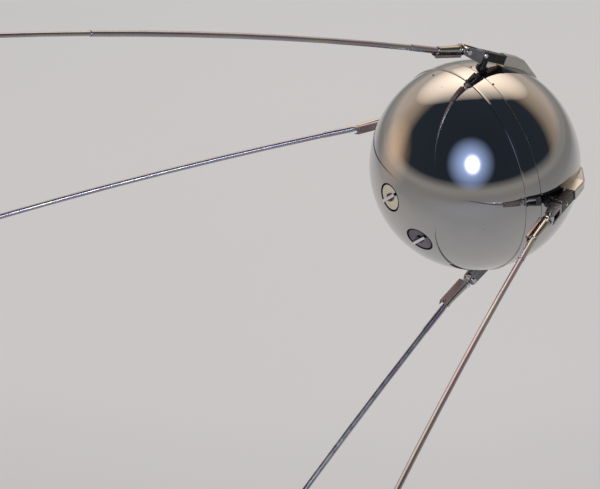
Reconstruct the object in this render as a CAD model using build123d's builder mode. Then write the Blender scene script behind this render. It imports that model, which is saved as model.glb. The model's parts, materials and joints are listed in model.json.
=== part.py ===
from build123d import *
from math import cos, degrees, radians, sin, sqrt, tan
import os

# Polished spherical satellite with four whip antennas swept back from its sides.
# Millimetres. The origin is the centre of the sphere, +X points to the nose and
# +Z to the side that carries whip 1. Whips 2, 3 and 4 follow at quarter turns.

# Sphere: two half shells bolted to a joint band, with a thin heat screen in front.
sphere_radius = 290.0
shell_wall = 2.0
screen_wall = 1.0
screen_clearance = 0.8
band_front_x = 3.0
band_aft_x = -41.0
band_depth = 22.0
band_edge_round = 2.0
flange_thickness = 6.0
flange_depth = 18.0

# Battery block inside the sphere, an eight-sided can on four lugs.
battery_across_flats = 270.0
battery_length = 230.0
battery_lug_width = 40.0
battery_lug_thickness = 12.0
battery_lug_count = 4

# Two round ports in the aft shell. Angles are from the tail pole and round the axis,
# from +Z towards +Y. The bar of each cover has its own direction round its port.
port_table = (
    # number, angle from the tail, angle round the axis, turn of the bar
    (1, 0.0, -141.0, 90.0),
    (2, 28.0, -141.0, 90.0),
)
port_radius = 41.0
port_ring_gap = 4.0
port_rim_width = 1.5
port_cover_sink = 1.2
port_cover_thickness = 6.0
port_floor_thickness = 4.0
port_flange_width = 8.0
port_flange_thickness = 3.0
bar_width = 8.0
bar_height = 8.0
bar_edge_chamfer = 1.0
boss_radius = 11.5
boss_height = 4.0
fit_gap = 0.3

# Whips. In the plane of a mount, along runs aft beside the rod and across is sideways.
# Along is measured from the sphere's centre, and a rise from the sphere's radius out.
whip_table = (
    # number, angle round the axis from +Z towards +Y, length from hinge to tip
    (1, 0.0, 2900.0),
    (2, 90.0, 2400.0),
    (3, 180.0, 2900.0),
    (4, 270.0, 2400.0),
)
mount_half_angle = 27.9
mount_width = 30.0

# Bracket: a wedge on the front shell that rises from a narrow tip to the insulator.
bracket_tip_along = -97.0
bracket_shoulder_along = -16.0
bracket_end_along = 50.0
bracket_tip_width = 7.0
bracket_shoulder_width = 25.0
bracket_tip_height = 5.0
bracket_top_rise = 30.0
bracket_shoulder_round = 70.0
bracket_edge_chamfer = 3.0

# Insulator: a bar that reaches aft from the bracket and stands on a round foot.
insulator_end_along = 131.0
insulator_width = 28.0
insulator_bottom_rise = 2.0
insulator_top_rise = 26.5
insulator_round = 2.0
foot_along = 109.0
foot_radius = 16.0
foot_top_rise = -15.0
foot_post_radius = 10.0

# Yoke: a fork whose two cheeks carry the hinge pin.
yoke_root_bottom_rise = -9.0
yoke_top_rise = 26.0
yoke_root_end_along = 147.0
cheek_thickness = 6.0
cheek_radius = 13.0
hinge_along = 187.0
hinge_rise = 15.0
pin_radius = 4.0
pin_head_radius = 6.5
pin_head_thickness = 4.0
pin_clearance = 0.15
side_clearance = 0.3

# Hinged eye with the round stop disc that closes against the yoke.
eye_radius = 11.0
neck_height = 16.0
disc_reach = 20.0
disc_drop = 1.0
disc_radius = 17.0
disc_thickness = 4.0

# Sleeve: collar, long cone and ring. Lengths are from the middle of the stop disc.
sleeve_toe_in = 3.8
sleeve_neck_radius = 9.5
collar_start = 6.5
collar_length = 4.0
collar_radius = 13.5
cone_start_radius = 12.5
cone_end_radius = 9.3
ring_start = 76.0
ring_length = 8.0
ring_radius = 10.5
socket_depth = 44.0

# Cradle plate: a channel under the sleeve, from the stop disc to a stud below the ring.
# Its floor clears the collar, and its sides stop where they would meet the collar.
cradle_width = 23.0
cradle_wall = 2.3
cradle_clearance = 2.7
cradle_end = 86.0
cradle_end_rake = 9.0
stud_radius = 3.0
stud_head_radius = 5.0
stud_head_thickness = 3.0

# Rod: it bends outward where it leaves the ring, inside a short ferrule, and then
# hangs in one long arc under its own weight. The upper tube is thinner.
rod_radius = 7.7
upper_rod_radius = 6.0
ferrule_radius = 8.8
ferrule_length = 84.0
lower_rod_length = 1150.0
rod_splay = 2.0
rod_bend_radius = 120.0
hang_direction = Vector(-0.22, -0.47, -0.855)
hang_angle = 7.2
sag_radius = 13000.0
tip_cap_radius = 7.5
tip_cap_round = 6.0
tip_cap_length = 24.0

os.makedirs("parts", exist_ok=True)

screen_inner_radius = sphere_radius - screen_wall
front_outer_radius = screen_inner_radius - screen_clearance
front_inner_radius = front_outer_radius - shell_wall
aft_inner_radius = sphere_radius - shell_wall
band_inner_radius = sphere_radius - band_depth


def cap_profile(outer, inner, start, toward):
    """Quarter ring of a sphere's wall that begins at x = start, ready to turn about X."""
    Circle(outer)
    Circle(inner, mode=Mode.SUBTRACT)
    side = Align.MIN if toward > 0 else Align.MAX
    with Locations((start, 0)):
        Rectangle(outer + sphere_radius, outer + sphere_radius, align=(side, Align.MIN), mode=Mode.INTERSECT)


with BuildPart() as front_shell:
    with BuildSketch():
        cap_profile(front_outer_radius, front_inner_radius, band_front_x, 1)
        with Locations((band_front_x, front_inner_radius - flange_depth)):
            Rectangle(flange_thickness, flange_depth + shell_wall / 2, align=(Align.MIN, Align.MIN))
    revolve(axis=Axis.X)
front_shell.part.label = "front_shell"
export_step(front_shell.part, "parts/front_shell.step")

with BuildPart() as heat_screen:
    with BuildSketch():
        cap_profile(sphere_radius, screen_inner_radius, band_front_x + fit_gap, 1)
    revolve(axis=Axis.X)
heat_screen.part.label = "heat_screen"
export_step(heat_screen.part, "parts/heat_screen.step")


def port_direction(from_tail, around):
    """Unit vector from the sphere's centre out through a port."""
    aft = cos(radians(from_tail))
    aside = sin(radians(from_tail))
    return Vector(-aft, aside * sin(radians(around)), aside * cos(radians(around)))


def port_plane(from_tail, around, turn):
    """Plane at the sphere's centre with z out through the port and x along its bar."""
    outward = port_direction(from_tail, around)
    round_axis = Vector(0, cos(radians(around)), -sin(radians(around)))
    up_meridian = outward.cross(round_axis)
    along_bar = up_meridian * cos(radians(turn)) + round_axis * sin(radians(turn))
    return Plane(origin=(0, 0, 0), x_dir=along_bar, z_dir=outward)


with BuildPart() as aft_shell:
    with BuildSketch():
        cap_profile(sphere_radius, aft_inner_radius, band_aft_x, -1)
        with Locations((band_aft_x, aft_inner_radius - flange_depth)):
            Rectangle(flange_thickness, flange_depth + shell_wall / 2, align=(Align.MAX, Align.MIN))
    revolve(axis=Axis.X)
    for number, from_tail, around, turn in port_table:
        with BuildSketch(port_plane(from_tail, around, turn)):
            Circle(port_radius + fit_gap)
        extrude(amount=sphere_radius + shell_wall, mode=Mode.SUBTRACT)
aft_shell.part.label = "aft_shell"
export_step(aft_shell.part, "parts/aft_shell.step")

# The band's outer face is a slice of the sphere with rounded edges at both seams.
with BuildPart() as joint_band:
    with BuildSketch() as band_profile:
        Circle(sphere_radius)
        with Locations((band_aft_x, band_inner_radius)):
            Rectangle(band_front_x - band_aft_x, sphere_radius, align=(Align.MIN, Align.MIN), mode=Mode.INTERSECT)
        rim_corners = band_profile.vertices().group_by(Axis.Y)[-2:]
        fillet([corner for group in rim_corners for corner in group], band_edge_round)
    revolve(axis=Axis.X)
joint_band.part.label = "joint_band"
export_step(joint_band.part, "parts/joint_band.step")

# The battery hangs on four lugs whose feet rest against the bore of the joint band.
with BuildPart() as battery_block:
    lug_x = (band_front_x + band_aft_x) / 2
    lug_reach = band_inner_radius - fit_gap
    with BuildSketch(Plane.YZ.offset(lug_x - battery_length / 2)):
        RegularPolygon(battery_across_flats / 2, 8, major_radius=False)
    extrude(amount=battery_length)
    with BuildSketch(Plane.YZ.offset(lug_x - battery_lug_thickness / 2)):
        Circle(lug_reach)
        with BuildSketch(Plane.YZ, mode=Mode.INTERSECT):
            with PolarLocations(0, battery_lug_count):
                Rectangle(2 * lug_reach, battery_lug_width)
    extrude(amount=battery_lug_thickness)
battery_block.part.label = "battery_block"
export_step(battery_block.part, "parts/battery_block.step")


# Each port is a cup with an inner flange, and a flat cover that lies sunk in the cup.
port_rim_out = sqrt(sphere_radius**2 - port_radius**2)
port_cover_out = port_rim_out - port_cover_sink
port_seat_out = port_cover_out - port_cover_thickness
port_flange_radius = port_radius + port_flange_width
port_flange_out = sqrt(aft_inner_radius**2 - port_flange_radius**2) - fit_gap
port_cover_radius = port_radius - port_ring_gap - port_rim_width

for number, from_tail, around, turn in port_table:
    mouth = port_plane(from_tail, around, turn)
    with BuildPart() as port_cup:
        with BuildSketch(mouth.offset(port_flange_out - port_flange_thickness)):
            Circle(port_flange_radius)
        extrude(amount=port_flange_thickness)
        with BuildSketch(mouth.offset(port_seat_out - port_floor_thickness)):
            Circle(port_radius)
        extrude(amount=port_rim_out - port_seat_out + port_floor_thickness)
        with BuildSketch(mouth.offset(port_rim_out)):
            Circle(port_cover_radius + port_ring_gap)
        extrude(amount=port_seat_out - port_rim_out, mode=Mode.SUBTRACT)
    port_cup.part.label = f"port_{number}_cup"
    export_step(port_cup.part, f"parts/port_{number}_cup.step")

    with BuildPart() as port_cover:
        with BuildSketch(mouth.offset(port_seat_out)):
            Circle(port_cover_radius)
        extrude(amount=port_cover_thickness)
        with BuildSketch(mouth.offset(port_cover_out)):
            Circle(port_cover_radius)
            Rectangle(2 * port_cover_radius, bar_width, mode=Mode.INTERSECT)
        extrude(amount=bar_height)
        bar_top = port_cover.faces().sort_by(Axis(mouth.origin, mouth.z_dir))[-1]
        chamfer(bar_top.edges(), bar_edge_chamfer)
        with BuildSketch(mouth.offset(port_cover_out)):
            Circle(boss_radius)
        extrude(amount=boss_height)
    port_cover.part.label = f"port_{number}_cover"
    export_step(port_cover.part, f"parts/port_{number}_cover.step")


def whip_plane(around):
    """Lengthwise plane of a mount: x aft beside the rod, y out from the sphere, z across."""
    turn = radians(around)
    slope = radians(mount_half_angle)
    along = Vector(-cos(slope), sin(slope) * sin(turn), sin(slope) * cos(turn))
    across = Vector(0, cos(turn), -sin(turn))
    return Plane(origin=(0, 0, 0), x_dir=along, z_dir=across)


def pull_across(direction):
    """The part of the rods' weight that pulls square to a direction."""
    return hang_direction - direction * hang_direction.dot(direction)


def hanging(direction):
    """Where a tube that sets out in a direction points once its weight pulls it over."""
    return (direction + pull_across(direction) * tan(radians(hang_angle))).normalized()


def out(rise):
    """Distance from the sphere's centre of what stands a rise above its radius."""
    return sphere_radius + rise


seat_radius = sphere_radius + fit_gap
bracket_tip_out = sqrt(sphere_radius**2 - bracket_tip_along**2) + bracket_tip_height
cheek_gap = mount_width / 2 - cheek_thickness
eye_half_width = cheek_gap - side_clearance
slot_length = hinge_along + cheek_radius + fit_gap - yoke_root_end_along
disc_face = disc_thickness / 2
collar_end = collar_start + collar_length
ring_end = ring_start + ring_length
cradle_inner_half = cradle_width / 2 - cradle_wall
cradle_depth = collar_radius + cradle_clearance + cradle_wall
cradle_top = -sqrt(collar_radius**2 - cradle_inner_half**2) - fit_gap

for number, around, length in whip_table:
    side = whip_plane(around)
    plan = Plane(origin=(0, 0, 0), x_dir=side.x_dir, z_dir=side.y_dir)
    out_axis = Axis((0, 0, 0), side.y_dir)
    pin_plane = Plane(
        origin=side.from_local_coords((hinge_along, out(hinge_rise), 0)),
        x_dir=side.x_dir,
        z_dir=side.z_dir,
    )

    with BuildPart() as bracket:
        with BuildSketch(side):
            with BuildLine():
                Polyline(
                    (bracket_tip_along, 0),
                    (bracket_tip_along, bracket_tip_out),
                    (bracket_shoulder_along, out(bracket_top_rise)),
                    (bracket_end_along, out(bracket_top_rise)),
                    (bracket_end_along, 0),
                    close=True,
                )
            wedge = make_face()
            fillet(wedge.vertices().group_by(Axis.Y)[-1].sort_by(Axis.X)[0], bracket_shoulder_round)
        extrude(amount=mount_width / 2, both=True)
        with BuildSketch(plan):
            with BuildLine():
                Polyline(
                    (bracket_tip_along, bracket_tip_width / 2),
                    (bracket_shoulder_along, bracket_shoulder_width / 2),
                    (bracket_end_along, mount_width / 2),
                    (bracket_end_along, -mount_width / 2),
                    (bracket_shoulder_along, -bracket_shoulder_width / 2),
                    (bracket_tip_along, -bracket_tip_width / 2),
                    close=True,
                )
            make_face()
        extrude(amount=out(bracket_top_rise), mode=Mode.INTERSECT)
        top_edges = bracket.faces().sort_by(out_axis)[-1].edges()
        chamfer(top_edges.sort_by(SortBy.LENGTH)[-2:], bracket_edge_chamfer)
        Sphere(seat_radius, mode=Mode.SUBTRACT)
    bracket.part.label = f"whip_{number}_bracket"
    export_step(bracket.part, f"parts/whip_{number}_bracket.step")

    with BuildPart() as insulator:
        with BuildSketch(side):
            with Locations((insulator_end_along, out(insulator_top_rise))):
                Rectangle(
                    insulator_end_along - bracket_end_along,
                    insulator_top_rise - insulator_bottom_rise,
                    align=(Align.MAX, Align.MAX),
                )
        extrude(amount=insulator_width / 2, both=True)
        fillet(insulator.faces().sort_by(out_axis)[-1].edges(), insulator_round)
    insulator.part.label = f"whip_{number}_insulator"
    export_step(insulator.part, f"parts/whip_{number}_insulator.step")

    with BuildPart() as foot:
        with BuildSketch(plan):
            with Locations((foot_along, 0)):
                Circle(foot_radius)
        extrude(amount=out(foot_top_rise))
        with BuildSketch(plan):
            with Locations((foot_along, 0)):
                Circle(foot_post_radius)
        extrude(amount=out(insulator_bottom_rise))
        Sphere(seat_radius, mode=Mode.SUBTRACT)
    foot.part.label = f"whip_{number}_foot"
    export_step(foot.part, f"parts/whip_{number}_foot.step")

    with BuildPart() as yoke:
        with BuildSketch(side):
            with BuildLine():
                Polyline(
                    (insulator_end_along + fit_gap, out(yoke_root_bottom_rise)),
                    (insulator_end_along + fit_gap, out(yoke_top_rise)),
                    (hinge_along, out(hinge_rise) + cheek_radius),
                    (hinge_along, out(hinge_rise) - cheek_radius),
                    close=True,
                )
            make_face()
            with Locations((hinge_along, out(hinge_rise))):
                Circle(cheek_radius)
        extrude(amount=mount_width / 2, both=True)
        with BuildSketch(side):
            with Locations((yoke_root_end_along, out(hinge_rise))):
                Rectangle(slot_length, 2 * mount_width, align=(Align.MIN, Align.CENTER))
        extrude(amount=cheek_gap, both=True, mode=Mode.SUBTRACT)
        with BuildSketch(pin_plane):
            Circle(pin_radius + pin_clearance)
        extrude(amount=mount_width, both=True, mode=Mode.SUBTRACT)
    yoke.part.label = f"whip_{number}_yoke"
    export_step(yoke.part, f"parts/whip_{number}_yoke.step")

    with BuildPart() as pin:
        with BuildSketch(pin_plane):
            Circle(pin_radius)
        extrude(amount=mount_width / 2 + pin_head_thickness, both=True)
        for face_side in (1, -1):
            with BuildSketch(pin_plane.offset(face_side * mount_width / 2)):
                Circle(pin_head_radius)
            extrude(amount=face_side * pin_head_thickness)
    pin.part.label = f"whip_{number}_pin"
    export_step(pin.part, f"parts/whip_{number}_pin.step")

    # From the stop disc on, the whip points a little in and hangs over.
    toe_in = radians(sleeve_toe_in)
    sleeve_direction = hanging(side.x_dir * cos(toe_in) - side.y_dir * sin(toe_in))
    seat = Plane(
        origin=side.from_local_coords((hinge_along + disc_reach, out(hinge_rise) - disc_drop, 0)),
        x_dir=sleeve_direction,
        z_dir=sleeve_direction.cross(side.y_dir),
    )
    sleeve_axis = Axis(seat.origin, seat.x_dir)
    disc_back = Plane(origin=seat.from_local_coords((-disc_face, 0, 0)), z_dir=seat.x_dir)

    with BuildPart() as eye:
        with BuildSketch(pin_plane):
            Circle(eye_radius)
            Rectangle(disc_reach, neck_height, align=(Align.MIN, Align.CENTER))
        extrude(amount=eye_half_width, both=True)
        with BuildSketch(disc_back):
            Circle(disc_radius)
        extrude(amount=disc_thickness)
        with BuildSketch(pin_plane):
            Circle(pin_radius + pin_clearance)
        extrude(amount=mount_width, both=True, mode=Mode.SUBTRACT)
        with BuildSketch(disc_back.offset(disc_thickness)):
            Circle(disc_radius)
        extrude(amount=disc_radius, mode=Mode.SUBTRACT)
    eye.part.label = f"whip_{number}_eye"
    export_step(eye.part, f"parts/whip_{number}_eye.step")

    with BuildPart() as sleeve:
        with BuildSketch(seat):
            with BuildLine():
                Polyline(
                    (disc_face, 0),
                    (disc_face, sleeve_neck_radius),
                    (collar_start, sleeve_neck_radius),
                    (collar_start, collar_radius),
                    (collar_end, collar_radius),
                    (collar_end, cone_start_radius),
                    (ring_start, cone_end_radius),
                    (ring_start, ring_radius),
                    (ring_end, ring_radius),
                    (ring_end, rod_radius),
                    (ring_end - socket_depth, rod_radius),
                    (ring_end - socket_depth, 0),
                    close=True,
                )
            make_face()
        revolve(axis=sleeve_axis)
    sleeve.part.label = f"whip_{number}_sleeve"
    export_step(sleeve.part, f"parts/whip_{number}_sleeve.step")

    with BuildPart() as cradle:
        with BuildSketch(seat):
            with BuildLine():
                Polyline(
                    (disc_face, cradle_top),
                    (cradle_end + cradle_end_rake, cradle_top),
                    (cradle_end, -cradle_depth),
                    (disc_face, -cradle_depth),
                    close=True,
                )
            make_face()
        extrude(amount=cradle_width / 2, both=True)
        with BuildSketch(seat):
            with Locations((0, cradle_wall - cradle_depth)):
                Rectangle(2 * cradle_end, cradle_depth, align=(Align.MIN, Align.MIN))
        extrude(amount=cradle_inner_half, both=True, mode=Mode.SUBTRACT)
        stud_foot = seat.from_local_coords(((ring_start + ring_end) / 2, -cradle_depth - stud_head_thickness, 0))
        with BuildSketch(Plane(origin=stud_foot, z_dir=seat.y_dir)):
            Circle(stud_head_radius)
        extrude(amount=stud_head_thickness)
        with BuildSketch(Plane(origin=stud_foot, z_dir=seat.y_dir)):
            Circle(stud_radius)
        extrude(amount=stud_head_thickness + cradle_depth - ring_radius - fit_gap)
    cradle.part.label = f"whip_{number}_plate"
    export_step(cradle.part, f"parts/whip_{number}_plate.step")

    splay = radians(rod_splay)
    rod_direction = hanging(side.x_dir * cos(splay) + side.y_dir * sin(splay))
    turn_out = sleeve_direction.get_angle(rod_direction)
    turn_plane = Plane(
        origin=seat.from_local_coords((ring_end, 0, 0)),
        x_dir=sleeve_direction,
        z_dir=sleeve_direction.cross(rod_direction),
    )
    pull = pull_across(rod_direction).length
    arc_radius = sag_radius / pull
    upper_length = length - disc_reach - ring_end - lower_rod_length
    with BuildPart() as rod:
        with BuildLine(turn_plane) as turn_path:
            socket_run = Line((-socket_depth, 0), (0, 0))
            turn_run = JernArc(socket_run @ 1, socket_run % 1, rod_bend_radius, turn_out)
        with BuildSketch(Plane(origin=turn_path.line @ 0, z_dir=turn_path.line % 0)):
            Circle(rod_radius)
        sweep(path=turn_path.line)
        hang_plane = Plane(
            origin=turn_path.line @ 1,
            x_dir=rod_direction,
            z_dir=rod_direction.cross(pull_across(rod_direction)),
        )
        with BuildLine(hang_plane) as lower_path:
            lower_run = JernArc((0, 0), (1, 0), arc_radius, degrees(lower_rod_length / arc_radius))
        with BuildSketch(Plane(origin=lower_path.line @ 0, z_dir=rod_direction)):
            Circle(rod_radius)
        sweep(path=lower_path.line)
        with BuildSketch(Plane(origin=lower_path.line @ 0, z_dir=rod_direction)):
            Circle(ferrule_radius)
        extrude(amount=ferrule_length)
        with BuildLine(hang_plane) as upper_path:
            upper_run = JernArc(lower_run @ 1, lower_run % 1, arc_radius, degrees(upper_length / arc_radius))
        with BuildSketch(Plane(origin=upper_path.line @ 0, z_dir=upper_path.line % 0)):
            Circle(upper_rod_radius)
        sweep(path=upper_path.line)
        with BuildSketch(Plane(origin=upper_path.line @ 1, z_dir=upper_path.line % 1)):
            Circle(tip_cap_radius)
        extrude(amount=-tip_cap_length)
        tip_rim = rod.edges().filter_by(GeomType.CIRCLE).sort_by(sleeve_axis)[-1]
        fillet(tip_rim, tip_cap_round)
    rod.part.label = f"whip_{number}_rod"
    export_step(rod.part, f"parts/whip_{number}_rod.step")
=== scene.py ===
# %% [markdown]
# A polished spherical satellite with four whips
#
# The object is a mirror-bright metal ball, 580 mm across, with four long antenna rods that
# sweep back from hinged roots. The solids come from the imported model, which Blender may dress
# but never move or resize. This lesson gives every solid a finish of its own, adds the small
# fastenings that are too fine for the solids, and lights the whole in a plain pale studio.

import json
from math import cos, pi, radians, sin

import bpy
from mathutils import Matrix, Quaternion, Vector


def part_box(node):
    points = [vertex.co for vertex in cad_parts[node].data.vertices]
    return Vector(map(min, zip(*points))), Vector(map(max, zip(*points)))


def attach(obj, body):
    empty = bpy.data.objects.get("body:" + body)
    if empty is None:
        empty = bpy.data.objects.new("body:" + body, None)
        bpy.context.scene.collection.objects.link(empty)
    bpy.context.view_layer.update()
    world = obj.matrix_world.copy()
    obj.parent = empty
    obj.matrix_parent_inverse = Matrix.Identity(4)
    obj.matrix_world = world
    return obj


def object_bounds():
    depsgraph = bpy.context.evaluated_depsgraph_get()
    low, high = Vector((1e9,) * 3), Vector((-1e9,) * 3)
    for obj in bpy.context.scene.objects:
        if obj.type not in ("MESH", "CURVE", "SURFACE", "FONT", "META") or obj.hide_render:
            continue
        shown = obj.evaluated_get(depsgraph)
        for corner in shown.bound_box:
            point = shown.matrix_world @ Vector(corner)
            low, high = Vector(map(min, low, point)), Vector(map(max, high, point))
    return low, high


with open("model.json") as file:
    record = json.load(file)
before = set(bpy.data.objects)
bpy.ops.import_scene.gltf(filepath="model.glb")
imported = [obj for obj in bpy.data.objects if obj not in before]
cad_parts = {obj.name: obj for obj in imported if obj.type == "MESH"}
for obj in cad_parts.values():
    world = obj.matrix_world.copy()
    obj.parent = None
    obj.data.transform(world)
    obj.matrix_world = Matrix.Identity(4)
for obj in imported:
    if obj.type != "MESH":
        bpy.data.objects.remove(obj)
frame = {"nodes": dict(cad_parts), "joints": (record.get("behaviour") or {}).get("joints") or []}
nodes = frame["nodes"]
cad_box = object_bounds()

# %% [markdown]
# Everything small is placed from the big pieces. The radius of the ball is read from its packed
# solid, and each whip's hinge comes from its joint. A mount lies in a plane through the ball's
# long axis, so three directions describe it: along the mount towards the tail, out from the
# ball, and across the mount beside the hinge pin.

# %% Read the ball and the four mounts
sphere_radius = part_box("heat_screen")[1].x
nose = Vector((1, 0, 0))
mount_slant = radians(27.9)


def mount_of(joint):
    """The hinge of a whip and the three directions of its mount."""
    hinge = Vector(joint["pos_m"])
    radial = Vector((0, hinge.y, hinge.z)).normalized()
    return {
        "whip": joint["child"],
        "hinge": hinge,
        "along": radial * sin(mount_slant) - nose * cos(mount_slant),
        "out": radial * cos(mount_slant) + nose * sin(mount_slant),
        "across": Vector(joint["axis"]).normalized(),
    }


mounts = [mount_of(joint) for joint in frame["joints"]]


def on_mount(mount, along, rise, aside):
    """A point given along a mount, above the ball's radius and aside from the middle plane."""
    out = mount["out"] * (sphere_radius + rise)
    return mount["along"] * along + out + mount["across"] * aside


print("ball radius", round(sphere_radius, 4), "m, mounts", [m["whip"] for m in mounts])

# %% [markdown]
# The photograph looks down on the ball from behind the tail and from the right of whip 1, from
# about seven and a half metres. A long lens keeps the rods nearly parallel, as they are there.
# The camera is aimed first and then rolled a few degrees, because the picture's upright isn't
# quite the part's own.

# %% Set the camera
camera_place = Vector((-3.9288, -5.2557, 3.6368))
view_direction = Vector((0.4626, 0.7266, -0.5080))
camera_roll = radians(-3.26)
lens_length = 163.54
film_width = 36.0
farthest_seen = 400.0

camera_data = bpy.data.cameras.new("camera")
camera_data.lens = lens_length
camera_data.sensor_width = film_width
camera_data.clip_end = farthest_seen
camera = bpy.data.objects.new("camera", camera_data)
camera.location = camera_place
camera.rotation_mode = "QUATERNION"
aimed = view_direction.to_track_quat("-Z", "Y")
camera.rotation_quaternion = aimed @ Quaternion((0, 0, 1), camera_roll)
bpy.context.scene.collection.objects.link(camera)
bpy.context.scene.camera = camera
print("camera", round(camera_place.length, 2), "m from the ball")

# %% [markdown]
# A material, a lamp and the sky are each a small web of nodes that pass numbers, colours and
# directions on to one another. A few helpers add a node, feed it and hand back its result, so
# that every recipe below reads as a short list of what the surface is made of.

# %% Helpers for nodes


def feed(tree, socket, value):
    """Gives a socket a plain value, or links another node's output to it."""
    if isinstance(value, bpy.types.NodeSocket):
        tree.links.new(value, socket)
    else:
        socket.default_value = value


def add(tree, kind, settings=None, **inputs):
    """Adds a node. Each input is a plain value or another node's output."""
    node = tree.nodes.new(kind)
    for name, value in (settings or {}).items():
        setattr(node, name, value)
    for name, value in inputs.items():
        feed(tree, node.inputs[name.replace("_", " ")], value)
    return node


def result_of(tree, kind, settings, *values):
    """Adds a node, feeds the sockets that its settings leave in use, and returns its output."""
    node = add(tree, kind, settings)
    in_use = [socket for socket in node.inputs if socket.enabled]
    for socket, value in zip(in_use, values):
        feed(tree, socket, value)
    return next(socket for socket in node.outputs if socket.enabled)


def number(tree, operation, *values):
    """What an operation makes of one or two numbers."""
    return result_of(tree, "ShaderNodeMath", {"operation": operation}, *values)


def vector(tree, operation, *values):
    """What an operation makes of one or two vectors, which may be a number or a vector."""
    return result_of(tree, "ShaderNodeVectorMath", {"operation": operation}, *values)


def mix(tree, data_type, share, low, high):
    """Goes from low to high as the share goes from 0 to 1, for colours or for vectors."""
    return result_of(tree, "ShaderNodeMix", {"data_type": data_type}, share, low, high)


# %% [markdown]
# A noise gives a plain value between 0 and 1. A ramp turns such a value into colours, and a
# spread maps it onto a range, such as the lowest and highest roughness of a metal. Three more
# helpers fetch what nearly every material starts from.

# %% Helpers for tones and materials


def ramp(tree, value, stops):
    """A colour ramp over a value. Each stop is a position and a colour."""
    node = add(tree, "ShaderNodeValToRGB", Fac=value)
    marks = node.color_ramp.elements
    while len(marks) < len(stops):
        marks.new(1.0)
    for mark, (position, colour) in zip(marks, stops):
        mark.position = position
        mark.color = (*colour, 1.0)
    return node.outputs["Color"]


def spread(tree, value, low, high, start=0.3, end=0.7):
    """Maps a value from start..end onto low..high."""
    settings = {"From Min": start, "From Max": end, "To Min": low, "To Max": high}
    node = add(tree, "ShaderNodeMapRange", Value=value)
    for name, setting in settings.items():
        node.inputs[name].default_value = setting
    return node.outputs["Result"]


def places(tree):
    """The places on a piece, in metres in the part's own frame."""
    return add(tree, "ShaderNodeTexCoord").outputs["Object"]


def shader_of(material):
    """A material's tree of nodes and its main shader."""
    material.use_nodes = True
    return material.node_tree, material.node_tree.nodes["Principled BSDF"]


def source_of(shader, name):
    """The output that is linked to one of a shader's inputs."""
    return shader.inputs[name].links[0].from_socket


# %% [markdown]
# A mirror shows whatever stands round it, so the studio is part of the look. The middle of the
# ball shows what is behind the camera, and its rim shows what is beyond the ball. In the
# photograph the middle is a deep slate blue and the rim is warm and light, so the studio is dark
# on the camera's side and a warm pale beige beyond the ball. The tone depends on a direction in
# the room, not on the camera, so the reflections stay right when the ball is seen from elsewhere.
# Low down, the sky goes over into a pale haze, so that it meets the floor softly.

# %% Light the sky
haze = (0.33, 0.315, 0.30)
haze_top = 0.16
sky_stops = [
    # side, where 0 is behind the camera, 0.5 beside the ball and 1 beyond it, and colour
    (0.00, (0.020, 0.027, 0.038)),
    (0.45, (0.026, 0.034, 0.044)),
    (0.56, (0.36, 0.28, 0.21)),
    (0.72, (0.58, 0.48, 0.40)),
    (1.00, (0.64, 0.59, 0.54)),
]
world = bpy.data.worlds.new("studio sky")
bpy.context.scene.world = world
world.use_nodes = True
sky = world.node_tree
sky_place = add(sky, "ShaderNodeTexCoord").outputs["Generated"]
sky_side = vector(sky, "DOT_PRODUCT", sky_place, view_direction)
sky_share = spread(sky, sky_side, 0.0, 1.0, start=-1.0, end=1.0)
sky_tone = ramp(sky, sky_share, sky_stops)
sky_height = add(sky, "ShaderNodeSeparateXYZ", Vector=sky_place).outputs["Z"]
clear = spread(sky, sky_height, 0.0, 1.0, start=0.0, end=haze_top)
hazy_tone = mix(sky, "RGBA", clear, (*haze, 1.0), sky_tone)
feed(sky, sky.nodes["Background"].inputs["Color"], hazy_tone)
print("sky with", len(sky_stops), "tones")

# %% [markdown]
# Four soft boxes light the ball, each brighter in its middle than at its edges, as cloth boxes
# are. The widest hangs above and beyond it and is warm: it is the beige glow in the top of the
# mirror. A small bright one stands behind the camera, in front of a large dim blue sheet, and
# the two give the glint in the middle and the blue glow round it. A dim brown one warms the
# left side. They are hidden from the camera, but the metal sees them.

# %% Hang the soft boxes
soft_boxes = [
    # name, place, width, height, watts, falloff towards the edges, colour
    ("overhead", (2.6, 3.8, 5.0), 11.0, 8.0, 500.0, 0.8, (1.0, 0.84, 0.70)),
    ("behind the camera", (-5.0, -6.1, 4.4), 4.0, 5.0, 1600.0, 3.4, (0.92, 0.95, 1.0)),
    ("blue sheet", (-5.4, -6.05, 4.6), 9.5, 11.0, 600.0, 1.25, (0.44, 0.58, 1.0)),
    ("left", (-3.8, 4.4, 0.5), 6.0, 5.5, 46.0, 1.0, (1.0, 0.62, 0.36)),
]
lamp_middle = (0.5, 0.5, 0.0)
middle_to_edge = 0.5


def soften(lamp, falloff):
    """Dims a lamp from its middle outwards. A higher falloff leaves a smaller bright middle."""
    lamp.use_nodes = True
    tree = lamp.node_tree
    place = add(tree, "ShaderNodeNewGeometry").outputs["Parametric"]
    from_middle = vector(tree, "DISTANCE", place, lamp_middle)
    share = spread(tree, from_middle, 1.0, 0.0, start=0.0, end=middle_to_edge)
    feed(tree, tree.nodes["Emission"].inputs["Strength"], number(tree, "POWER", share, falloff))


def hang_soft_box(name, place, width, height, watts, falloff, colour):
    """A rectangular lamp that faces the middle of the ball."""
    lamp = bpy.data.lights.new(name, "AREA")
    lamp.shape = "RECTANGLE"
    lamp.size = width
    lamp.size_y = height
    lamp.energy = watts
    lamp.color = colour
    soften(lamp, falloff)
    holder = bpy.data.objects.new(name, lamp)
    holder.location = place
    holder.rotation_mode = "QUATERNION"
    holder.rotation_quaternion = (-Vector(place)).to_track_quat("-Z", "Y")
    holder.visible_camera = False
    bpy.context.scene.collection.objects.link(holder)


for row in soft_boxes:
    hang_soft_box(*row)
print("hung", len(soft_boxes), "soft boxes")

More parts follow.
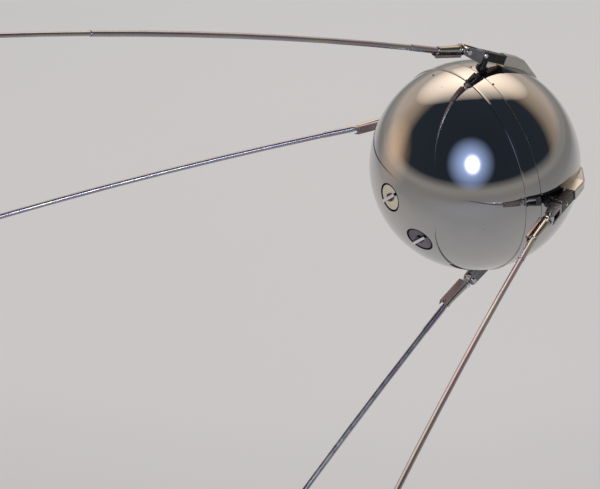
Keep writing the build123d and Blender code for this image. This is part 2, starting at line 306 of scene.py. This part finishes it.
# %% [markdown]
# The floor lies just below the lowest rod tip. Its paint is matt, so it takes a soft shadow. A
# share of its paleness is its own light, which only the camera and mirrors see, so it keeps the
# background pale without throwing more light on the object. That share is highest beyond the
# ball, where the camera looks, and lower under it. Far out it rises again towards the tone of
# the haze, so that only a soft change shows where the floor meets the sky.

# %% Lay the floor
floor_drop = 0.12
floor_reach = 150.0
pool_distance = 6.0
glow_reach = 40.0
glow_stops = [
    # distance from the middle of the pale pool as a share of glow_reach, and glow
    (0.000, (0.46, 0.46, 0.46)),
    (0.095, (0.44, 0.44, 0.44)),
    (0.160, (0.31, 0.31, 0.31)),
    (0.240, (0.22, 0.22, 0.22)),
    (0.500, (0.22, 0.217, 0.213)),
    (1.000, (0.28, 0.27, 0.26)),
]
paint_stops = [(0.3, (0.36, 0.36, 0.36)), (0.7, (0.385, 0.385, 0.385))]
floor_z = cad_box[0].z - floor_drop
away = Vector((view_direction.x, view_direction.y, 0)).normalized()
pool_centre = away * pool_distance + Vector((0, 0, floor_z))


def floor_paint():
    """Matt pale paint, a little cloudy, with a glow for the camera and for mirrors."""
    material = bpy.data.materials.new("pale floor paint")
    tree, shader = shader_of(material)
    place = places(tree)
    cloud = add(tree, "ShaderNodeTexNoise", Vector=place, Scale=0.6, Detail=3.0)
    feed(tree, shader.inputs["Base Color"], ramp(tree, cloud.outputs["Fac"], paint_stops))
    shader.inputs["Roughness"].default_value = 0.9
    shader.inputs["Specular IOR Level"].default_value = 0.1

    reach = vector(tree, "DISTANCE", place, pool_centre)
    share = spread(tree, reach, 0.0, 1.0, start=0.0, end=glow_reach)
    feed(tree, shader.inputs["Emission Color"], ramp(tree, share, glow_stops))
    path = add(tree, "ShaderNodeLightPath").outputs
    seen = path["Is Camera Ray"]
    for ray in ("Is Glossy Ray", "Is Transmission Ray"):
        seen = number(tree, "MAXIMUM", seen, path[ray])
    feed(tree, shader.inputs["Emission Strength"], seen)
    return material


floor_corners = [(-floor_reach, -floor_reach), (floor_reach, -floor_reach)]
floor_corners += [(floor_reach, floor_reach), (-floor_reach, floor_reach)]
floor_mesh = bpy.data.meshes.new("floor")
floor_mesh.from_pydata([(x, y, floor_z) for x, y in floor_corners], [], [(0, 1, 2, 3)])
floor_mesh.materials.append(floor_paint())
floor = bpy.data.objects.new("floor", floor_mesh)
bpy.context.scene.collection.objects.link(floor)
print("floor at", round(floor_z, 3), "m")

# %% [markdown]
# Bare metal needs three things to look real. Its colour drifts a little from place to place, its
# roughness changes where hands and cloths have been, and its surface is never quite flat. One
# function makes all the bare metals of the object from those three. The grain follows the way a
# piece was turned, drawn or filed, so it is stretched along a direction.

# %% A recipe for bare metal
tone_start, tone_end = 0.35, 0.68
rough_start, rough_end = 0.15, 0.40
handling_scale = 6.0


def streaked(tree, direction, stretch):
    """Places in metres, drawn out along a direction, so that a texture turns to streaks."""
    turn = direction.rotation_difference(nose).to_euler()
    turned_place = add(tree, "ShaderNodeMapping", Vector=places(tree), Rotation=turn)
    drawn = (1.0 / stretch, 1.0, 1.0)
    drawn_place = add(tree, "ShaderNodeMapping", Vector=turned_place.outputs["Vector"], Scale=drawn)
    return drawn_place.outputs["Vector"]


def bare_metal(name, tones, roughness, grain=(nose, 20.0, 700.0), relief=0.00001, drift=4.0):
    """Bare metal: its tones, a low and high roughness, and grain as direction, stretch and scale."""
    material = bpy.data.materials.new(name)
    tree, shader = shader_of(material)
    shader.inputs["Metallic"].default_value = 1.0
    place = places(tree)

    clouds = add(tree, "ShaderNodeTexNoise", Vector=place, Scale=drift, Detail=5.0)
    step = (tone_end - tone_start) / (len(tones) - 1)
    stops = [(tone_start + step * index, tone) for index, tone in enumerate(tones)]
    feed(tree, shader.inputs["Base Color"], ramp(tree, clouds.outputs["Fac"], stops))

    direction, stretch, scale = grain
    lines = streaked(tree, direction, stretch)
    streaks = add(tree, "ShaderNodeTexNoise", Vector=lines, Scale=scale, Detail=3.0).outputs["Fac"]
    handled = add(
        tree, "ShaderNodeTexNoise",
        Vector=place, Scale=drift * handling_scale, Detail=6.0, Roughness=0.65,
    ).outputs["Fac"]
    marks = number(tree, "MULTIPLY", streaks, handled)
    rough = spread(tree, marks, *roughness, start=rough_start, end=rough_end)
    feed(tree, shader.inputs["Roughness"], rough)

    bump = add(tree, "ShaderNodeBump", Height=streaks, Distance=relief)
    feed(tree, shader.inputs["Normal"], bump.outputs["Normal"])
    return material


plain_sheet = bare_metal("plain sheet", [(0.60, 0.60, 0.60), (0.52, 0.52, 0.53)], (0.25, 0.40))
battery_paint = bare_metal("battery case", [(0.45, 0.47, 0.46), (0.38, 0.40, 0.39)], (0.35, 0.5))
print("made", plain_sheet.name, "and", battery_paint.name, "for the hidden pieces")

# %% [markdown]
# The ball itself is the mirror. Its reflections bend very slightly, because spun sheet is never a
# perfect sphere, so slow waves are added under the fine marks of the polishing wheel. Wiped
# smudges lift the roughness in patches, and a few pits stay as dark specks. At the tip of the
# nose, where the mesh's triangles meet in a point, one of its normals is uneven, and a mirror
# shows that. A ball's normal is the direction from its centre, so the shader uses that there.

# %% Finish for the polished ball
tip_start = sphere_radius * 0.985
tip_full = sphere_radius * 0.990
pit_tone = (0.16, 0.14, 0.12)
pit_inner, pit_outer = 0.022, 0.036


def smooth_nose(tree, place):
    """The mesh's normal, and at the tip of the nose the direction from the ball's centre."""
    from_centre = vector(tree, "NORMALIZE", place)
    forward = add(tree, "ShaderNodeSeparateXYZ", Vector=place).outputs["X"]
    at_tip = spread(tree, forward, 0.0, 1.0, start=tip_start, end=tip_full)
    mesh_normal = add(tree, "ShaderNodeNewGeometry").outputs["Normal"]
    return mix(tree, "VECTOR", at_tip, mesh_normal, from_centre)


def mirror_metal(name, wave=0.0016, wave_scale=5.0):
    """Hand-polished aluminium: slow waves, fine wheel marks, smudges and pits."""
    material = bare_metal(
        name,
        tones=[(0.63, 0.615, 0.595), (0.55, 0.55, 0.555)],
        roughness=(0.014, 0.060),
        grain=(Vector((0, 0, 1)), 1.0, 300.0),
        relief=0.0000003,
        drift=3.0,
    )
    tree, shader = shader_of(material)
    place = places(tree)

    swell = add(tree, "ShaderNodeTexNoise", Vector=place, Scale=wave_scale, Detail=1.0, Roughness=0.4)
    slow_bump = add(tree, "ShaderNodeBump", Height=swell.outputs["Fac"], Distance=wave)
    feed(tree, slow_bump.inputs["Normal"], smooth_nose(tree, place))
    fine_bump = source_of(shader, "Normal").node
    feed(tree, fine_bump.inputs["Normal"], slow_bump.outputs["Normal"])

    specks = add(tree, "ShaderNodeTexVoronoi", Vector=place, Scale=24.0, Randomness=1.0)
    clean = spread(tree, specks.outputs["Distance"], 0.0, 1.0, start=pit_inner, end=pit_outer)
    pitted = mix(tree, "RGBA", clean, (*pit_tone, 1.0), source_of(shader, "Base Color"))
    feed(tree, shader.inputs["Base Color"], pitted)
    return material


mirror = mirror_metal("mirror aluminium")
print("made", mirror.name)

# %% [markdown]
# Handling rubs the edges of a fitting bright and takes their sharpness off. The shader can find
# those edges: it compares the true normal of a face with one that is rounded over a small
# radius, and the two differ only near an edge. The bright colour laid there is partly wear and
# partly a painted highlight along the edge. A noise breaks the line up.

# %% A helper for edges with wear and a painted highlight
edge_wear_and_highlight_radius = 0.0012


def layer_over(tree, below, above, mask):
    """Lays a plain colour over another node's colour where a mask is 1."""
    return mix(tree, "RGBA", mask, below, (*above, 1.0))


def wear_and_highlight_edges(material, bright, radius=edge_wear_and_highlight_radius):
    """Rounds the edges of a material's shading and brightens them in broken stretches, as wear and
    painted highlight.
    """
    tree, shader = shader_of(material)
    rounded = add(tree, "ShaderNodeBevel", {"samples": 6}, Radius=radius).outputs["Normal"]
    true_normal = add(tree, "ShaderNodeNewGeometry").outputs["True Normal"]
    match = vector(tree, "DOT_PRODUCT", rounded, true_normal)
    edge = spread(tree, match, 1.0, 0.0, start=0.84, end=0.98)
    noise = add(tree, "ShaderNodeTexNoise", Vector=places(tree), Scale=120.0, Detail=4.0)
    breaks = spread(tree, noise.outputs["Fac"], 0.1, 0.9, start=0.4, end=0.6)
    # The bright colour laid on the edges is partly wear and partly a painted highlight.
    worn_and_highlit = number(tree, "MULTIPLY", edge, breaks)
    rubbed_and_highlit = layer_over(tree, source_of(shader, "Base Color"), bright, worn_and_highlit)
    feed(tree, shader.inputs["Base Color"], rubbed_and_highlit)
    feed(tree, source_of(shader, "Normal").node.inputs["Normal"], rounded)


print("edges are worn", edge_wear_and_highlight_radius, "m in, unless a finish says otherwise")

# %% [markdown]
# The fittings are four metals. The pointed brackets are polished aluminium with wide bright
# edges, which are partly wear and partly a painted highlight. Pins, eyes and bolts are bright
# steel, the forks are a cool grey gun metal, and the channel-shaped cradles under the sleeves are
# a dull rosy brown. The steel keeps its edges, because its pieces are too small to show any wear.

# %% Finishes for the fittings
bracket_metal = bare_metal(
    "polished bracket metal", [(0.66, 0.64, 0.60), (0.54, 0.53, 0.51)], (0.12, 0.26),
    relief=0.00002, drift=14.0,
)
bright_steel = bare_metal(
    "bright steel", [(0.80, 0.80, 0.80), (0.68, 0.68, 0.69)], (0.08, 0.22),
    relief=0.00001, drift=30.0,
)
gun_metal = bare_metal(
    "grey gun metal", [(0.30, 0.30, 0.33), (0.20, 0.205, 0.23)], (0.20, 0.38),
    relief=0.00002, drift=20.0,
)
cradle_metal = bare_metal(
    "rosy cradle metal", [(0.46, 0.37, 0.385), (0.27, 0.225, 0.26)], (0.18, 0.34),
    relief=0.00002, drift=20.0,
)
# The bright edge colour is partly wear and partly a painted highlight, widest on the brackets.
wear_and_highlight_edges(bracket_metal, (0.90, 0.89, 0.86), radius=0.0020)
wear_and_highlight_edges(gun_metal, (0.62, 0.60, 0.60))
wear_and_highlight_edges(cradle_metal, (0.66, 0.61, 0.61))
print("made four finishes for the fittings, three with worn edges")

# %% [markdown]
# A port is a dark ring in the ball with a cover in it, and across the cover runs a bar by which
# it is turned. The cover's face is cream in one port and nearly black in the other. These are
# painted reflections, a bright one and a dark one. The bar and the boss under it belong to the
# cover, so one material has to tell them apart. It measures how far a point stands out along the
# port's own axis. The turned face lies lowest, the flanks of boss and bar follow with a painted
# shade in dark blue, and the bar's top gets a painted highlight. A lathe leaves rings round that
# axis, which come from the distance to it.

# %% Finishes for the two ports
port_radius = 0.041
cover_sink = 0.0012
cover_face_out = (sphere_radius**2 - port_radius**2) ** 0.5 - cover_sink
bar_top_out = cover_face_out + 0.008
flank_start, flank_full = cover_face_out + 0.0002, cover_face_out + 0.0006
highlight_start, highlight_full = bar_top_out - 0.0014, bar_top_out - 0.0008
# The flanks' dark blue is painted shade, and the bar top's near-white is a painted highlight.
flank_shade_tone = (0.085, 0.075, 0.13)
bar_top_highlight_tone = (0.93, 0.92, 0.95)
# The cream face is a painted reflection of a bright surround, and the near-black face is a painted
# reflection of a dark one.
port_face_reflections = {
    # port and the two tones of its cover's face, a painted reflection
    "port_1": [(0.95, 0.87, 0.72), (0.84, 0.76, 0.64)],
    "port_2": [(0.23, 0.21, 0.24), (0.12, 0.105, 0.155)],
}


def port_cover_with_painted_light(port, tones):
    """Turned face, painted shade on the flanks of boss and bar, and a painted highlight on the bar top.
    """
    material = bare_metal("cover of " + port, tones, (0.24, 0.38), drift=18.0)
    tree, shader = shader_of(material)
    low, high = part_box(port + "_cup")
    axis = (low + high).normalized()
    place = places(tree)

    stands_out = vector(tree, "DOT_PRODUCT", place, axis)
    raised = spread(tree, stands_out, 0.0, 1.0, start=flank_start, end=flank_full)
    on_top = spread(tree, stands_out, 0.0, 1.0, start=highlight_start, end=highlight_full)
    # Painted shade on the raised flanks, then a painted highlight on the bar's top.
    shaded_flanks = layer_over(tree, source_of(shader, "Base Color"), flank_shade_tone, raised)
    feed(tree, shader.inputs["Base Color"], layer_over(tree, shaded_flanks, bar_top_highlight_tone, on_top))

    from_axis = vector(tree, "DISTANCE", place, vector(tree, "PROJECT", place, axis))
    along_radius = {"noise_dimensions": "1D"}
    rings = add(tree, "ShaderNodeTexNoise", along_radius, W=from_axis, Scale=1600.0, Detail=3.0)
    lathe = add(tree, "ShaderNodeBump", Height=rings.outputs["Fac"], Distance=0.00003)
    feed(tree, source_of(shader, "Normal").node.inputs["Normal"], lathe.outputs["Normal"])
    return material


cover_finish = {port: port_cover_with_painted_light(port, tones) for port, tones in port_face_reflections.items()}
dark_ring = bare_metal(
    "blackened port ring", [(0.060, 0.050, 0.060), (0.030, 0.028, 0.034)], (0.30, 0.46), drift=18.0
)
print("made finishes for", list(cover_finish), "and their rings")

# %% [markdown]
# The rods are drawn tube. The die leaves long fine lines, so each rod's streaks follow that rod's
# own direction, which is read from its solid. In the photograph the tube drifts along its length
# between an olive grey, a mauve and a dull pink, so its recipe gets three tones instead of two.
# The cone-shaped sleeve at its root is another metal, pale with a touch of olive.

# %% Finishes for each whip's tube and sleeve
line_stretch = 40.0
line_scale = 900.0


def tube_direction(whip):
    """From the hinge to the middle of a rod."""
    low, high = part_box(whip["whip"] + "_rod")
    middle = (low + high) / 2
    return (middle - whip["hinge"]).normalized()


def tube_metal(name, whip, tones, roughness):
    """Bare metal with long die lines that follow a whip."""
    grain = (tube_direction(whip), line_stretch, line_scale)
    return bare_metal(name + " " + whip["whip"], tones, roughness, grain=grain, relief=0.00002, drift=5.0)


tube_tones = [(0.52, 0.52, 0.48), (0.47, 0.44, 0.50), (0.50, 0.405, 0.46)]
sleeve_tones = [(0.64, 0.62, 0.56), (0.47, 0.455, 0.41)]
tube_finish, sleeve_finish = {}, {}
for whip in mounts:
    tube_finish[whip["whip"]] = tube_metal("drawn tube", whip, tube_tones, (0.20, 0.36))
    sleeve_finish[whip["whip"]] = tube_metal("sleeve", whip, sleeve_tones, (0.14, 0.28))
print("made", len(tube_finish), "tube finishes and", len(sleeve_finish), "sleeve finishes")

# %% [markdown]
# The insulators are black moulded blocks. Moulded ebonite is glossy when new and goes satin where
# it is touched, with grey dust that settles in its grain. It isn't a metal, so it gets its own
# short recipe.

# %% Finish for the insulators
ebonite_stops = [(0.45, (0.012, 0.012, 0.013)), (0.72, (0.045, 0.044, 0.042))]


def ebonite():
    """Black moulded rubber with satin patches and a trace of dust."""
    material = bpy.data.materials.new("black ebonite")
    tree, shader = shader_of(material)
    place = places(tree)
    dust = add(tree, "ShaderNodeTexNoise", Vector=place, Scale=60.0, Detail=8.0, Roughness=0.7)
    feed(tree, shader.inputs["Base Color"], ramp(tree, dust.outputs["Fac"], ebonite_stops))
    touched = add(tree, "ShaderNodeTexNoise", Vector=place, Scale=25.0, Detail=4.0)
    feed(tree, shader.inputs["Roughness"], spread(tree, touched.outputs["Fac"], 0.22, 0.45))
    grain = add(tree, "ShaderNodeTexNoise", Vector=place, Scale=700.0, Detail=2.0)
    bump = add(tree, "ShaderNodeBump", Height=grain.outputs["Fac"], Distance=0.00003)
    feed(tree, shader.inputs["Normal"], bump.outputs["Normal"])
    return material


black_ebonite = ebonite()
print("made", black_ebonite.name)

# %% [markdown]
# A solid from the frame keeps its mesh and only gets a new material. A short table says which
# finish each kind of node takes. Rods and sleeves look theirs up by whip, because their lines
# follow it, and the two port covers look theirs up by port.

# %% Dress every node
finish_of = {
    "front_shell": plain_sheet,
    "heat_screen": mirror,
    "aft_shell": mirror,
    "joint_band": mirror,
    "battery_block": battery_paint,
    "cup": dark_ring,
    "bracket": bracket_metal,
    "insulator": black_ebonite,
    "foot": black_ebonite,
    "yoke": gun_metal,
    "pin": bright_steel,
    "eye": bright_steel,
    "plate": cradle_metal,
}
finish_by_owner = {"rod": tube_finish, "sleeve": sleeve_finish, "cover": cover_finish}


def finish_for(name):
    """The material for a node, from its full name or its last word."""
    owner, kind = name.rsplit("_", 1)
    if kind in finish_by_owner:
        return finish_by_owner[kind][owner]
    return finish_of.get(name) or finish_of[kind]


for name, node in nodes.items():
    node.data.materials.clear()
    node.data.materials.append(finish_for(name))
print("dressed", len(nodes), "nodes")

# %% [markdown]
# Bolts and screws are turned parts, so one helper turns a short profile round an axis. With six
# steps it makes a hexagon head, with many a round one. Several turned shapes can share one mesh,
# which keeps the number of pieces low.

# %% Helpers for turned fastenings
sharp_degrees = 30


def turned(rings, foot, axis, steps=32):
    """Points and faces of a profile of (radius, height) pairs turned round an axis."""
    side = axis.orthogonal().normalized()
    other = axis.cross(side)
    turns = [2 * pi * step / steps for step in range(steps)]
    spokes = [side * cos(turn) + other * sin(turn) for turn in turns]
    points = [foot + axis * height + spoke * radius for radius, height in rings for spoke in spokes]
    faces = [
        (ring * steps + step, ring * steps + (step + 1) % steps,
         (ring + 1) * steps + (step + 1) % steps, (ring + 1) * steps + step)
        for ring in range(len(rings) - 1)
        for step in range(steps)
    ]
    last = (len(rings) - 1) * steps
    faces.append(tuple(reversed(range(steps))))
    faces.append(tuple(range(last, last + steps)))
    return points, faces


def bolted_piece(name, shapes, material, body):
    """Joins turned shapes into one piece that rides on a body."""
    points, faces = [], []
    for shape_points, shape_faces in shapes:
        start = len(points)
        points += shape_points
        faces += [tuple(start + corner for corner in face) for face in shape_faces]
    mesh = bpy.data.meshes.new(name)
    mesh.from_pydata([tuple(point) for point in points], [], faces)
    mesh.shade_smooth()
    mesh.set_sharp_from_angle(angle=radians(sharp_degrees))
    mesh.materials.append(material)
    piece = bpy.data.objects.new(name, mesh)
    bpy.context.scene.collection.objects.link(piece)
    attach(piece, body)


def hexagon_bolt(foot, axis, radius, height):
    """A washer with a chamfered hexagon head on it."""
    washer_radius = radius * 1.25
    washer_height = height * 0.22
    chamfer = radius * 0.12
    washer = turned([(washer_radius, 0), (washer_radius, washer_height)], foot, axis)
    head = [(radius, washer_height), (radius, height - chamfer), (radius - chamfer, height)]
    return [washer, turned(head, foot, axis, steps=6)]


print("fastenings keep edges of over", sharp_degrees, "degrees sharp")

# %% [markdown]
# A bolt clamps each fork to its insulator and shows on both sides as a bright dot, next to the
# heads of the hinge pin. One more head stands on top of the insulator, over its foot.

# %% Bolt the forks and the insulators
clamp_along = 0.123
clamp_rise = 0.016
clamp_bolt = {"radius": 0.0052, "height": 0.0042}
block_half_width = 0.014
top_bolt_along = 0.103
top_bolt = {"radius": 0.0042, "height": 0.0030}
block_top_rise = 0.0265

for mount in mounts:
    bolts = []
    for side in (1, -1):
        foot = on_mount(mount, clamp_along, clamp_rise, side * block_half_width)
        bolts += hexagon_bolt(foot, mount["across"] * side, **clamp_bolt)
    top = on_mount(mount, top_bolt_along, block_top_rise, 0)
    bolts += hexagon_bolt(top, mount["out"], **top_bolt)
    bolted_piece(mount["whip"] + "_bolts", bolts, bright_steel, "root")
print("bolted", len(mounts), "mounts")

# %% [markdown]
# Three small screws show on the ball, one of them on the front seam. Each is a low round head
# with a drilled centre, set square to the surface where it sits. They are blackened, as the
# rings of the ports are, so they read as dark dots on the mirror.

# %% Set the screws in the ball
screw_directions = [
    Vector((0.0061, -0.0808, 0.2784)),
    Vector((-0.0746, 0.0798, 0.2686)),
    Vector((0.0089, 0.0206, 0.2891)),
]
screw_radius = 0.0031
screw_height = 0.0009
drill_radius = 0.0012


def ball_screw(direction):
    """A low head with a drilled centre, seated on the ball."""
    outward = direction.normalized()
    seat = outward * (sphere_radius - screw_height)
    rim = 2 * screw_height
    rings = [
        (screw_radius, 0), (screw_radius, rim * 0.8), (screw_radius * 0.85, rim),
        (drill_radius, rim), (drill_radius, rim * 0.3),
    ]
    return turned(rings, seat, outward)


screws = [ball_screw(direction) for direction in screw_directions]
bolted_piece("ball_screws", screws, dark_ring, "root")
print("set", len(screws), "screws")

# %% [markdown]
# The view transform is Standard, so a colour renders about as it is written.

# %% Close the scene
bpy.context.scene.view_settings.view_transform = "Standard"
